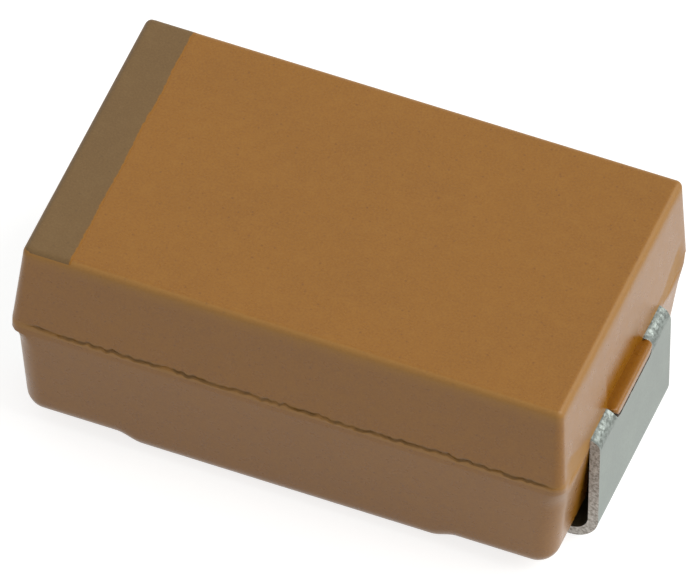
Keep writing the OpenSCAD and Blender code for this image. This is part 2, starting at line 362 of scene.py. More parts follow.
# %% Lean of the walls
def edge_centre(depth, draft, edge_r):
    """Inset and height of the centre of the round edge, as the CAD source places it."""
    return depth * math.tan(draft) + edge_r, depth - edge_r


def wall_lean(depth, draft, edge_r):
    """Angle of the wall that runs from the parting line to touch the round edge."""
    inset, height = edge_centre(depth, draft, edge_r)
    return math.acos(edge_r / math.hypot(inset, height)) - math.atan2(height, inset)


upper_lean = wall_lean(upper_height, upper_draft, top_edge_r)
lower_lean = wall_lean(end_depth, lower_draft, bottom_edge_r)
print("walls lean", round(math.degrees(upper_lean), 2), round(math.degrees(lower_lean), 2))

# %% Rows above and below the parting line
sill_drop = 0.162  # bottom of the key below the parting line
foot_drop = 0.065  # foot of the scoop below the parting line
scoop_top = 0.60   # top of the scoop above the parting line

# Heights from the parting line, so rows below it are negative
upper_rows = np.concatenate([np.linspace(1.08, 0.50, 7), np.linspace(0.47, 0.10, 14)])
seam_rows = np.array([0.060, 0.040, 0.020, 0.006, -0.006, -0.016, -0.026, -0.037])
foot_rows = np.linspace(-0.045, -foot_drop, 3)
key_rows = 20
key_levels = np.linspace(-foot_drop, -sill_drop, key_rows + 1)[1:]
lower_rows = np.linspace(0, 1, 13)[1:]
top_angles = np.linspace(upper_lean, math.pi / 2, 8)
bottom_angles = np.linspace(lower_lean, math.pi / 2, 12)
print("rows down the walls:", len(upper_rows) + len(seam_rows) + len(foot_rows) + key_rows)

# %% Rings of the two halves
def ramp(value, start, length):
    """0 as far as start, then an even rise to 1 over a length."""
    return np.clip((value - start) / length, 0, 1)


def wall_ring(height, lean, corner, shift):
    """Outline of a leaning wall at a distance from the parting line."""
    inset = height * math.tan(lean)
    return outline(half_length - inset, half_width - inset, corner, shift)


def upper_ring(height):
    """Outline of the upper wall at a height above the parting line."""
    corner = upper_corner_r + (top_edge_r - upper_corner_r) * height / upper_height
    return wall_ring(height, upper_lean, corner, upper_shift)


end_step = lower_shift[0] - upper_shift[0]  # the halves meet without a step at the +X end
side_step = 0.010     # and with half of the step at the front
step_fades = 0.12     # this far below the parting line the lower wall is where its mould puts it
corners_open = 0.35   # and this far below it the corners have their full radius
least_corner = 0.004  # a ring's corner never closes to a point
# Where the lower wall is drawn in or out to do so: the start of each stretch and its length
end_stretch, lump_stretch, front_stretch = (2.5, 0.8), (2.9, 0.4), (1.2, 0.8)


def lower_ring(drop):
    """Outline of the lower wall; its corners start as tight as the upper ones and open out."""
    corner = upper_corner_r + (lower_corner_r - upper_corner_r) * min(drop / corners_open, 1.0)
    ring = wall_ring(drop, lower_lean, corner, lower_shift)
    drawn_in = max(1 - drop / step_fades, 0.0)
    ring[:, 0] -= drawn_in * end_step * ramp(ring[:, 0], *end_stretch)
    by_lump = 1 + ramp(-ring[:, 0], *lump_stretch)
    ring[:, 1] += drawn_in * side_step * by_lump * ramp(-ring[:, 1], *front_stretch)
    return ring


def flat(ring, z):
    """A ring as points at one level."""
    return np.concatenate([ring, np.full((len(ring), 1), z)], 1)


def top_edge_ring(angle):
    """A ring on the round edge of the top, at an angle up from level."""
    centre_inset, centre_height = edge_centre(upper_height, upper_draft, top_edge_r)
    inset = centre_inset - top_edge_r * math.cos(angle)
    corner = max(top_edge_r * math.cos(angle), least_corner)
    ring = outline(half_length - inset, half_width - inset, corner, upper_shift)
    return flat(ring, parting_z + centre_height + top_edge_r * math.sin(angle))

# %% [markdown]
# ## The stepped underside
#
# The feet fold in under the ends of the case, so the mould makes the underside shallower there
# and leaves a pad in the middle that reaches almost to the board. The depth of the underside
# is therefore a curve along X, and the bottom rows follow it.

# %% Underside depth and bottom rows
pad_flat_x, pad_end_x = 1.83, 2.16  # the pad is flat as far as the first and ends at the second


def smooth_step(value, low, high):
    """0 below low, 1 above high, and a smooth S between them."""
    t = np.clip((value - low) / (high - low), 0, 1)
    return t * t * (3 - 2 * t)


def underside_depth(x):
    """Depth of the underside below the parting line, with the pad in the middle."""
    return pad_depth - (pad_depth - end_depth) * smooth_step(np.abs(x), pad_flat_x, pad_end_x)


def column_depth():
    """Depth below the parting line for each station; the ends keep the shallow depth."""
    ring = lower_ring(end_depth)
    depth = np.full(len(ring), end_depth)
    for start in (quarter_starts[1], quarter_starts[3]):
        side = slice(start, start + side_count)
        depth[side] = underside_depth(ring[side, 0])
    return depth


depths = column_depth()


def lower_wall_row(share):
    """A row part of the way from the key's level to where the bottom edge starts to turn."""
    tangent = depths - bottom_edge_r * (1 - math.sin(lower_lean))
    drop = sill_drop + share * (tangent - sill_drop)
    levels = np.linspace(sill_drop, pad_depth, 40)
    rings = np.stack([lower_ring(d) for d in levels])
    row = np.empty((len(drop), 3))
    for column, d in enumerate(drop):
        for axis in (0, 1):
            row[column, axis] = np.interp(d, levels, rings[:, column, axis])
    row[:, 2] = parting_z - drop
    return row


def bottom_edge_row(angle):
    """A row on the round edge of the underside, which follows the step of the pad."""
    turn_in = bottom_edge_r * (math.cos(lower_lean) - math.cos(angle))
    tangent = end_depth - bottom_edge_r * (1 - math.sin(lower_lean))
    inset = tangent * math.tan(lower_lean) + turn_in
    corner = max(lower_corner_r - turn_in, least_corner)
    row = flat(outline(half_length - inset, half_width - inset, corner, lower_shift), 0.0)
    row[:, 1] -= np.sign(row[:, 1]) * (depths - end_depth) * math.tan(lower_lean)
    row[:, 2] = parting_z - depths + bottom_edge_r * (1 - math.sin(angle))
    return row


print("underside is", round(parting_z - depths.max(), 3), "mm above the board at the pad")

# %% [markdown]
# ## The key and the hollows of the end walls
#
# At each end the terminal has a window between its two tabs, and resin fills the window in the
# mould. What stands in it is called the key here: a small step that slopes up and out to a round
# nose. Above it the end wall is hollowed by a shallow scoop. Beside the tabs, where flash was
# broken off, the wall falls back a little from a slanting line down to the parting line. All of
# it follows the wall's columns: the rows leave the wall, climb the key and come back under it.

# %% Hollows in the end walls
scoop_depth = 0.037
scoop_bow = 1.6  # how fast the scoop deepens towards its foot
tab_edge_y, ledge_end_y = 1.2, 1.9  # the broken ledge runs from the tab towards the corner
ledge_depth = 0.038


def scoop(y, height):
    """How deep the scoop cuts the end wall at a point, given from the parting line up."""
    rise = np.clip((height + foot_drop) / (scoop_top + foot_drop), 0, 1)
    inside = 1 - smooth_step(np.abs(to_window(y)), 0.50, key_half)
    below = smooth_step(height, -sill_drop - 0.01, -foot_drop)
    return scoop_depth * (1 - rise) ** scoop_bow * inside * below


def ledge_share(y, height):
    """How far down the broken ledge a point is, 1 at its foot, and how far along it."""
    along = np.clip((np.abs(y) - tab_edge_y) / (ledge_end_y - tab_edge_y), 0, 1)
    top, foot = 0.05 + 0.35 * along, -0.10 - 0.05 * along
    down = np.clip((top - height) / (top - foot), 0, 1)
    return down * (1 - smooth_step(-height, -foot, -foot + 0.06)) * (np.abs(y) > tab_edge_y), along


def ledge(y, height):
    """How far the broken ledge falls back from the end wall."""
    down, along = ledge_share(y, height)
    return ledge_depth * down * along * (1 - smooth_step(np.abs(y), ledge_end_y - 0.2, 2.02))


def hollow_ends(row, height):
    """Move the end stations of a row inwards by the scoop's and the ledges' depth."""
    for start, sign in ((quarter_starts[0], 1), (quarter_starts[2], -1)):
        end = slice(start, start + end_count)
        row[end, 0] -= sign * (scoop(sign * row[end, 1], height) + ledge(row[end, 1], height))
    return row


print("scoop", scoop_depth, "mm deep, ledges", ledge_depth, "mm")

# %% Key in the window
key_reach, key_nose_r = 0.12, 0.040
key_rise = 0.035  # how far the key climbs from the scoop's foot
wall_x = half_length + lower_shift[0]
window_half, window_r, window_drop = 0.65, 0.15, 0.21  # the notch punched in each terminal
climb_shares = (0.15, 0.35, 0.55, 0.75, 0.9)
nose_angles = np.radians([0, 18, 36, 54, 72, 90])
face_shares = (0.3, 0.6, 0.85, 1)


def key_bottom(y):
    """Level of the key's underside: it follows the window's round lower corners."""
    beyond = min(max(abs(to_window(y)) - (window_half - window_r), 0), window_r)
    return -sill_drop + window_r - math.sqrt(window_r ** 2 - beyond ** 2)


def key_profile(y):
    """Rows of one column of the key: x from the middle of the case, height from the parting."""
    corner = max(abs(to_window(y)) - (key_half - key_corner_r), 0)
    reach = key_reach - key_corner_r + math.sqrt(max(key_corner_r ** 2 - corner ** 2, 0))
    foot_x = wall_x - scoop(y, -foot_drop)
    shoulder_x = wall_x + reach - key_nose_r
    shoulder_z = -foot_drop + key_rise
    climb = [(foot_x + t * (shoulder_x - foot_x), shoulder_z - key_rise * (1 - t) ** 2)
             for t in climb_shares]
    nose = [(shoulder_x + key_nose_r * math.sin(a), shoulder_z - key_nose_r * (1 - math.cos(a)))
            for a in nose_angles]
    face_top, face_x = shoulder_z - key_nose_r, wall_x + reach
    bottom = min(key_bottom(y), face_top - 0.012)
    face = [(face_x, face_top + t * (bottom + 0.008 - face_top)) for t in face_shares]
    under = [(face_x - 0.002, bottom + 0.002), (face_x - 0.010, bottom),
             (wall_x + 0.4 * reach, bottom), (wall_x - 0.005, bottom), (wall_x - 0.02, bottom)]
    return np.array(climb + nose + face + under)


assert len(key_profile(0.0)) == key_rows


def wall_row(height):
    """A row of the lower wall at a height, with the ends hollowed."""
    return hollow_ends(flat(lower_ring(-height), parting_z + height), height)


def key_row(index):
    """A row of the lower wall that leaves it at each end to pass round the key."""
    row = wall_row(key_levels[index])
    for start, sign in ((quarter_starts[0], 1), (quarter_starts[2], -1)):
        for column in range(start, start + end_count):
            y = row[column, 1] - lower_shift[1]
            if abs(to_window(sign * y)) <= key_half + 0.001:
                x, height = key_profile(sign * y)[index]
                row[column] = (sign * x, y, parting_z + height)
    return row


print("key stands", key_reach, "mm out and is", round(key_levels[0] - key_levels[-1], 3), "high")

# %% [markdown]
# ## The parting line
#
# Where the mould halves met there is a hairline groove with a little squeezed-out resin under
# it. It wanders and is ragged, so smooth noise along the outline moves its rows. The groove is
# also painted dark, as painted shade in the crevice, and the seam is painted a paler gold, as
# painted light on its lip. The noise comes from mathutils, which gives the same values on every
# run. At one corner more resin got out: a small lump of flash bridges the two halves.

# %% Ragged parting line
groove_depth, lip_out = 0.007, 0.004
line_waves = ((0.016, 0.9, 3.1), (0.018, 0.20, 8.7), (0.040, 0.075, 4.9))  # height, size, seed
line_rise = 0.008
lowest_lift, highest_lift = -0.014, 0.040  # the rows must not cross their neighbours
beside_key_y = 0.8  # the line is ragged from here to the corners


def wander(x, y, size_mm, seed):
    """Noise from -1 to 1 round the outline, about size_mm from bump to bump."""
    return noise.noise(Vector((x / size_mm, y / size_mm, seed)))


def seam_profile(row_index, x, y):
    """Offset out of the wall, rise and painted shade of a parting-line row at a station."""
    lift = sum(high * wander(x, y, size, seed) for high, size, seed in line_waves) + line_rise
    lift = min(max(lift, lowest_lift), highest_lift)
    cut = groove_depth * (1 + 0.7 * wander(x, y, 0.30, 5.3) + 0.7 * wander(x, y, 0.065, 9.4))
    lip = lip_out * (1 + 0.9 * wander(x, y, 0.22, 1.9))
    on_end = float(smooth_step(abs(x), half_length - 0.22, half_length - 0.08))
    # Painted shade in the groove, which fades out on the ends.
    dark = (0.85 + 0.4 * wander(x, y, 0.35, 6.2) + 0.7 * wander(x, y, 0.07, 2.6)) * (
        1 - 0.95 * on_end)
    cut, lip = cut * (1 - on_end), lip * (1 - on_end)
    return [(0, 0.7 * lift, 0), (0, lift, 0.2 * dark), (-cut, lift, 0.8 * dark),
            (-cut, lift, dark), (0, lift, 0.7 * dark), (lip, lift, 0),
            (0.7 * lip, 0.7 * lift, 0), (0.3 * lip, 0.2 * lift, 0)][row_index]


print("groove", groove_depth, "mm deep over", len(seam_rows), "rows")

# %% Lump of flash
lump_x, lump_y = -half_length + 0.03, -half_width + 0.02  # the corner with the lump
lump_full, lump_reach = 0.12, 0.34  # full as far as the first and gone at the second
lump_foot = -0.13  # height of its ragged foot from the parting line


def flash_share(x, y, height):
    """1 where the lump of flash fills the lower wall out to the upper one."""
    near = 1 - smooth_step(math.hypot(x - lump_x, y - lump_y), lump_full, lump_reach)
    foot = lump_foot + 0.03 * wander(x, y, 0.08, 7.7)
    return float(near * smooth_step(height, foot - 0.045, foot) * (height < 0))


def away_from_middle(row):
    """Unit vectors in plan that point out of the wall at each station."""
    centre = outline(half_length - 0.3, half_width - 0.3, 0.05)  # a ring well inside the wall
    away = row[:, :2] - centre
    return away / np.linalg.norm(away, axis=1)[:, None]


def add_flash(row, height):
    """Draw the lower wall out to the edge of the upper one where the lump of flash is."""
    edge = upper_ring(0.0)
    for column, (x, y, _) in enumerate(row):
        row[column, :2] += flash_share(x, y, height) * (edge[column] - row[column, :2])
    return row


def seam_row(index):
    """A row of the parting line, and how much painted shade darkens it at each station."""
    height = seam_rows[index]
    ring = upper_ring(height) if height > 0 else lower_ring(-height)
    row = hollow_ends(flat(ring, parting_z + height), height)
    away = away_from_middle(row)
    dark = np.zeros(len(row))
    for column, (x, y, z) in enumerate(row):
        on_key = abs(x) > half_length - 0.15 and abs(y) < beside_key_y
        out, lift, seam_shade = (0, 0, 0) if on_key else seam_profile(index, x, y)
        plain_share = 1 - flash_share(x, y, min(height, -0.001))
        row[column, :2] += out * plain_share * away[column]
        row[column, 2] += lift
        dark[column] = seam_shade * plain_share
    return (row if height > 0 else add_flash(row, height)), dark


print("lump of flash near", round(lump_x, 2), round(lump_y, 2))

# %% [markdown]
# ## The case skin
#
# All that is left is to stack the rows and join them. Two layers of numbers are stored at the
# mesh's points for the resin to read: how much painted shade darkens the seam's groove at a
# point, and how far it is broken or rubbed, which also paints light in pale gold there. A
# painted texture could say the same, but it would need an unwrapped mesh.

# %% From points to an object
def mesh_object(name, points_mm, faces, material, sharp_degrees=40.0):
    """A smooth-shaded mesh from points in millimetres, sharp where faces meet steeply."""
    mesh = bpy.data.meshes.new(name)
    mesh.from_pydata((np.asarray(points_mm) * MM).tolist(), [], faces)
    mesh.validate()
    mesh.update()
    mesh.materials.append(material)
    mesh.shade_smooth()
    mesh.set_sharp_from_angle(angle=math.radians(sharp_degrees))
    piece = bpy.data.objects.new(name, mesh)
    bpy.context.scene.collection.objects.link(piece)
    return piece


def store_layer(piece, name, values):
    """Keep one number for each point of the mesh, for a material to read."""
    layer = piece.data.attributes.new(name, "FLOAT", "POINT")
    layer.data.foreach_set("value", values)

# %% Rows and faces of the case
support_inset = 0.02  # a ring this far inside the edge keeps the flat top flat


def case_rows():
    """All rows from the top down, with the seam's painted shade at each point."""
    inner = top_edge_ring(math.pi / 2)
    support = inner.copy()
    support[:, :2] *= np.array([1 - support_inset / half_length, 1 - support_inset / half_width])
    rows = [support] + [top_edge_ring(a) for a in top_angles[::-1]]
    rows += [hollow_ends(flat(upper_ring(h), parting_z + h), h) for h in upper_rows]
    dark = [np.zeros(stations_in_ring)] * len(rows)
    for index in range(len(seam_rows)):
        row, seam_shade = seam_row(index)
        rows.append(row)
        dark.append(seam_shade)
    below = [add_flash(wall_row(h), h) for h in foot_rows]
    below += [add_flash(key_row(i), key_levels[i]) for i in range(key_rows)]
    below += [lower_wall_row(share) for share in lower_rows]
    below += [bottom_edge_row(angle) for angle in bottom_angles[1:]]
    return np.array(rows + below), np.array(dark + [np.zeros(stations_in_ring)] * len(below))


def case_faces(row_count):
    """Four-sided faces between the rows, one for the top and a row of strips for the underside."""
    n = stations_in_ring
    faces = [(r * n + c, (r + 1) * n + c, (r + 1) * n + (c + 1) % n, r * n + (c + 1) % n)
             for r in range(row_count - 1) for c in range(n)]
    faces.append(tuple(range(n)))
    last = (row_count - 1) * n
    back = [last + quarter_starts[1] + i for i in range(side_count)][::-1]
    front = [last + quarter_starts[3] + i for i in range(side_count)]
    faces += [(front[i], back[i], back[i + 1], front[i + 1]) for i in range(side_count - 1)]
    right_end = list(range(last, last + quarter_starts[1]))
    right_corner = list(range(last + quarter_starts[3] + side_count, last + n))
    left_end = list(range(last + quarter_starts[1] + side_count, last + quarter_starts[3]))
    faces.append(tuple(([front[-1]] + right_corner + right_end + [back[-1]])[::-1]))
    faces.append(tuple(([back[0]] + left_end + [front[0]])[::-1]))
    return faces


rows, seam_shade = case_rows()
print("case skin:", len(rows), "rows of", stations_in_ring, "points")

# %% Broken and rubbed resin, and painted light
edge_wear, seam_wear_and_light = 0.7, 0.7  # beside 1 for a fresh break


def wear_and_painted_light(points):
    """1 on the broken ledges beside the tabs, and less along the seam and the top's edges. The
    layer roughens these places, and its pale gold is partly the colour of the break and partly
    painted light.
    """
    x, y, height = points[:, 0], points[:, 1], points[:, 2] - parting_z
    down, along = ledge_share(y, height)
    on_end = (np.abs(x) > half_length - 0.2) * (1 - smooth_step(np.abs(y), 1.75, 2.03))
    # Painted light: on the ledges the pale gold also stands for the warmer tone they take where
    # they mirror the shaded floor and the terminal.
    broken_and_lit = smooth_step(down, 0.0, 0.30) * smooth_step(along, 0.0, 0.15) * on_end
    below_top = (upper_height - height) / top_edge_r
    worn_edge = np.clip(below_top / 0.1, 0, 1) * (1 - np.clip(below_top - 1, 0, 1))
    # Painted highlight: the seam's lip catches the lamp, so the seam is lifted towards pale gold.
    in_seam = (np.abs(height) < 0.045) * (np.abs(y) > beside_key_y)
    return np.maximum(broken_and_lit, np.maximum(edge_wear * worn_edge, seam_wear_and_light * in_seam))


print("rubbed share of the case:", round(float(wear_and_painted_light(rows.reshape(-1, 3)).mean()), 3))

# %% Case skin
case_skin = mesh_object("case_skin", rows.reshape(-1, 3), case_faces(len(rows)), resin)
# Painted shade: the seam layer says how dark the groove is painted.
store_layer(case_skin, "seam", np.clip(seam_shade, 0, 1).ravel())
# The wear layer roughens the resin and also paints light on it in pale gold.
store_layer(case_skin, "wear_and_painted_light", wear_and_painted_light(rows.reshape(-1, 3)))
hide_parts("moulded_case")
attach(case_skin, "root")
print("case skin:", len(case_skin.data.polygons), "faces")

# %% [markdown]
# ## The polarity band
#
# A laser darkens the resin in a band over the anode end. On the real part it has no thickness,
# so here it is a skin of a few micrometres that follows the top and the start of its round
# edges. Its inner edge is not quite straight, because the beam is stepped across the part.

# %% Points of the band
band_inner_x = band_high[0] + 0.02
band_lift, band_depth = 0.003, 0.010  # above the resin and below it
band_columns, band_lines = 34, 150
edge_limit = 0.8  # share of the edge radius that the band runs on to
fade_width = 0.05  # the laser's mark thins out over this at the inner edge


def top_height(x, y):
    """Height of the case's top at a point, with its round edges."""
    inset = edge_centre(upper_height, upper_draft, top_edge_r)[0]
    dx = max(abs(x - upper_shift[0]) - (half_length - inset), 0)
    dy = max(abs(y - upper_shift[1]) - (half_width - inset), 0)
    return top_z - top_edge_r + math.sqrt(max(top_edge_r ** 2 - dx * dx - dy * dy, 0))


def band_points():
    """The band's upper points line by line, how far each has faded, and the grid's size."""
    inset = edge_centre(upper_height, upper_draft, top_edge_r)[0] - top_edge_r * edge_limit
    x0 = upper_shift[0] - half_length + inset
    half = half_width - inset
    ys = np.concatenate([-half + top_edge_r * np.linspace(0, 1, 6)[:-1],
                         np.linspace(-half + top_edge_r, half - top_edge_r, band_lines),
                         half - top_edge_r * np.linspace(0, 1, 6)[-2::-1]]) + upper_shift[1]
    across = np.concatenate([np.linspace(0, top_edge_r, 6)[:-1],
                             np.linspace(top_edge_r, 1.0, band_columns)])
    upper, fade = [], []
    for y in ys:
        x1 = band_inner_x + 0.020 * wander(0, y, 0.7, 2.2) + 0.008 * wander(0, y, 0.09, 4.4)
        corner = max(abs(y - upper_shift[1]) - (half - top_edge_r), 0)
        start = x0 + top_edge_r - math.sqrt(max(top_edge_r ** 2 - corner ** 2, 0))
        run = x1 - start - top_edge_r  # of the flat part, from the round edge to the inner edge
        for t in across:
            x = start + t if t <= top_edge_r else (
                start + top_edge_r + run * (t - top_edge_r) / (1 - top_edge_r))
            upper.append((x, y, top_height(x, y) + band_lift))
            fade.append(float(smooth_step(x, x1 - fade_width, x1)))
    return np.array(upper), np.array(fade), len(ys), len(across)


upper, fade, lines, columns = band_points()
print("band:", lines, "lines of", columns, "points")

# %% Polarity band
def closed_sheet(upper, lower, cells):
    """Join two matching sets of points into a closed thin solid; cells are the upper faces."""
    count = len(upper)
    faces = [tuple(c) for c in cells] + [tuple(i + count for i in c[::-1]) for c in cells]
    edges = {(c[i], c[(i + 1) % len(c)]) for c in cells for i in range(len(c))}
    faces += [(b, a, a + count, b + count) for a, b in sorted(edges) if (b, a) not in edges]
    return np.concatenate([upper, lower]), faces


cells = [(j * columns + i, j * columns + i + 1, (j + 1) * columns + i + 1, (j + 1) * columns + i)
         for j in range(lines - 1) for i in range(columns - 1)]
points, faces = closed_sheet(upper, upper - np.array([0, 0, band_lift + band_depth]), cells)
band = mesh_object("polarity_band_film", points, faces, burnt_resin)
store_layer(band, "fade", np.concatenate([fade, fade]))
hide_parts("polarity_band")
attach(band, "root")
print("band:", len(faces), "faces, inner edge at x =", round(band_inner_x, 3))

# %% [markdown]
# ## The path of the lead frame sheet
#
# Each terminal is one strip of sheet, so it is drawn as the path of its outer face, the way a
# press tool folds it: straight runs and bends. The cathode's sheet starts as a paddle under the
# pellet, climbs, leaves the case at the parting line and folds down and under. The anode's
# starts as the finger that is welded to the riser wire. A walker that only goes straight or
# turns makes both.

# %% A walker for folded sheet
def walk(start, heading_degrees, moves, step_mm):
    """Points and outward normals along moves: ('go', length) with a step if it isn't step_mm,
    or ('turn', radius, degrees, steps)."""
    x, z = start
    heading = math.radians(heading_degrees)
    points = [(x, z, -math.sin(heading), math.cos(heading))]
    for move in moves:
        if move[0] == "go":
            count = max(1, round(move[1] / (move[2] if len(move) > 2 else step_mm)))
            for _ in range(count):
                x += math.cos(heading) * move[1] / count
                z += math.sin(heading) * move[1] / count
                points.append((x, z, -math.sin(heading), math.cos(heading)))
        else:
            _, radius, degrees, count = move
            side = 1 if degrees > 0 else -1  # a left turn bends towards the outer face
            cx = x - side * radius * math.sin(heading)
            cz = z + side * radius * math.cos(heading)
            for _ in range(count):
                heading += math.radians(degrees) / count
                x = cx + side * radius * math.sin(heading)
                z = cz - side * radius * math.cos(heading)
                points.append((x, z, -math.sin(heading), math.cos(heading)))
    return np.array(points)

# %% The two paths
sheet_t = 0.13
sheet_top = terminal_high[2]
shoulder_r, heel_r, paddle_bend_r = 0.16, 0.35, 0.18
terminal_x = terminal_high[0]
foot_length = 1.3
spring_back = math.radians(1.5)  # the upright wall leans in towards its top
paddle_wall_x, paddle_start_x = 3.0, 1.23
paddle_height = 0.45  # of the paddle's top above the board
paddle_top = terminal_low[2] + paddle_height
finger_start_x, finger_end_x = 2.50, 3.06
widening = 0.004  # the finger grows to the full width over this length
fine_mm, fine_run, wall_fine = 0.015, 0.10, 0.30  # fine rows before and after the shoulder
lean_sin, lean_cos = math.sin(spring_back), math.cos(spring_back)
wall_run = (sheet_top - shoulder_r * (1 - lean_sin) - heel_r * (1 + lean_sin)) / lean_cos
lean_degrees = math.degrees(spring_back)
outer_fold = [("turn", shoulder_r, lean_degrees - 90, 20), ("go", wall_fine, fine_mm),
              ("go", wall_run - wall_fine), ("turn", heel_r, -lean_degrees - 90, 16),
              ("go", foot_length - heel_r)]
strip_end_x = (terminal_x - heel_r * (1 - lean_cos) - wall_run * lean_sin
               - shoulder_r * lean_cos)
cathode_path = walk((paddle_start_x, paddle_top), 0, [
    ("go", paddle_wall_x + sheet_t - paddle_bend_r - paddle_start_x, 0.2),
    ("turn", paddle_bend_r - sheet_t, 90, 8),
    ("go", sheet_top - paddle_top - paddle_bend_r - (paddle_bend_r - sheet_t), 0.2),
    ("turn", paddle_bend_r, -90, 8),
    ("go", strip_end_x - paddle_wall_x - paddle_bend_r - fine_run, 0.04),
    ("go", fine_run, fine_mm)] + outer_fold, 0.08)
anode_path = walk((finger_start_x, sheet_top), 0, [
    ("go", finger_end_x - widening / 2 - finger_start_x, 0.1), ("go", widening),
    ("go", strip_end_x - finger_end_x - widening / 2 - fine_run, 0.04),
    ("go", fine_run, fine_mm)] + outer_fold, 0.08)
print("path ends at", np.round(cathode_path[-1, :2], 3), np.round(anode_path[-1, :2], 3))

# %% [markdown]
# ## The notched, crumpled sheet
#
# Across the path the sheet has three strips: two that become the tabs and one between them that
# is missing where the window is. The plating crazes where the sheet is bent over the shoulder,
# and catches the light in small facets. That is real relief, so the points of the shoulder move
# by fine noise. A bevel modifier breaks the sheared edges, as the press does.

# %% Strips across the sheet
terminal_half = 1.2
window_far = far_half + 0.006  # the far side of the window, which is off centre
worn_corner = 0.06  # the far tab is rounded off by this much where it leaves the case
sill_z = parting_z - window_drop
window_x = 3.21  # the window starts here, just inside the case
tab_columns, middle_columns = 30, 14


def window_edge(x, z):
    """Half width of the gap between the strips at a row of the path."""
    if x < window_x or z > sill_z + window_r:
        return window_half
    drop = min(max(sill_z + window_r - z, 0), window_r)
    return window_half - window_r + math.sqrt(window_r ** 2 - drop ** 2)


def strip_ys(x, z, inner_half, inner_x):
    """Stations across the strip, from its far edge to its near one."""
    half = inner_half if x < inner_x else terminal_half
    gap = min(window_edge(x, z), 0.7 * half)
    tab = np.linspace(half, gap, tab_columns + 1)
    middle = np.linspace(gap, -gap, middle_columns + 1)
    ys = np.concatenate([tab, middle[1:], -tab[::-1][1:]])
    if x < inner_x:
        return ys
    # The wear starts where the tab leaves the case and is gone part of the way down the wall
    below = float(smooth_step(sheet_top - z, 0.05, 0.28))
    worn = worn_corner * float(smooth_step(x, 3.30, 3.45)) * (1 - below)
    return np.interp(ys, [-half, 0, window_half, half], [-half, 0, window_far, half - worn])


print("window from", -window_half, "to", window_far, "mm across a terminal")

# %% Crazed plating and exact corners
crumple_mm = 0.007
crumple_x = 3.40  # the sheet is smooth where the resin holds it


def crumple(x, y, z, seed):
    """Relief of the crazed plating in millimetres, strongest on the shoulder."""
    amount = float(smooth_step(z, sill_z - 0.02, sill_z + 0.05))
    if x < crumple_x or amount <= 0:
        return 0.0
    facets = wander(x + z, y, 0.060, seed) + 0.8 * wander(x - z, y, 0.030, seed + 4)
    return crumple_mm * amount * facets


def snap_rows(path):
    """Insert rows at the sill and the window's rounded corners so that the notch is exact."""
    rows = [path[0]]
    levels = [sill_z + window_r * (1 - math.cos(a)) for a in np.radians(np.arange(0, 91, 10))]
    for here, there in zip(path[:-1], path[1:]):
        inside = [z for z in levels if there[1] < z < here[1] and here[0] > window_x]
        for z in sorted(inside, reverse=True):
            rows.append(here + (there - here) * (here[1] - z) / (here[1] - there[1]))
        rows.append(there)
    return np.array(rows)


print("rows in the sheets:", len(snap_rows(cathode_path)), len(snap_rows(anode_path)))

# %% One closed sheet
def terminal_sheet(name, path, inner_half, inner_x, turned, seed):
    """A folded terminal: rows along the path, columns across it, open at the window."""
    path = snap_rows(path)
    outer, inner, cells, in_window = [], [], [], []
    width = 2 * tab_columns + middle_columns + 1
    for x, z, nx, nz in path:
        for y in strip_ys(x, z, inner_half, inner_x):
            bump = crumple(x, y, z, seed)
            outer.append((x + nx * bump, y, z + nz * bump))
            inner.append((x - nx * sheet_t, y, z - nz * sheet_t))
        in_window.append(window_x <= x + 1e-6 and z > sill_z + 1e-4)
    for r in range(len(path) - 1):
        for c in range(width - 1):
            middle_strip = tab_columns <= c < tab_columns + middle_columns
            if middle_strip and in_window[r]:
                continue
            cells.append((r * width + c, (r + 1) * width + c,
                          (r + 1) * width + c + 1, r * width + c + 1))
    points, faces = closed_sheet(np.array(outer), np.array(inner), cells)
    if turned:
        points = points * np.array([-1, -1, 1])
    sheet = mesh_object(name, points, faces, tinned, 38.0)
    sheet.data.materials.append(sheared)  # the rim faces come last, and the press cut them
    for polygon in sheet.data.polygons[2 * len(cells):]:
        polygon.material_index = 1
    return sheet

# %% [markdown]
# ## Matt tin plating
#
# The lead frame is thin copper alloy sheet with a matt electroplated tin finish. Matt tin is a
# grey, slightly greenish metal with a satin surface: light spreads over it and nothing mirrors
# in it. It clouds softly where it has been handled, and where it is bent the crazed plating
# shows bright facets and dark cracks.

# %% Tin plating material
def times(tree, first, second):
    """The product of two values or sockets."""
    return add_node(tree, "ShaderNodeMath", {"operation": "MULTIPLY"},
                    {0: first, 1: second}).outputs[0]


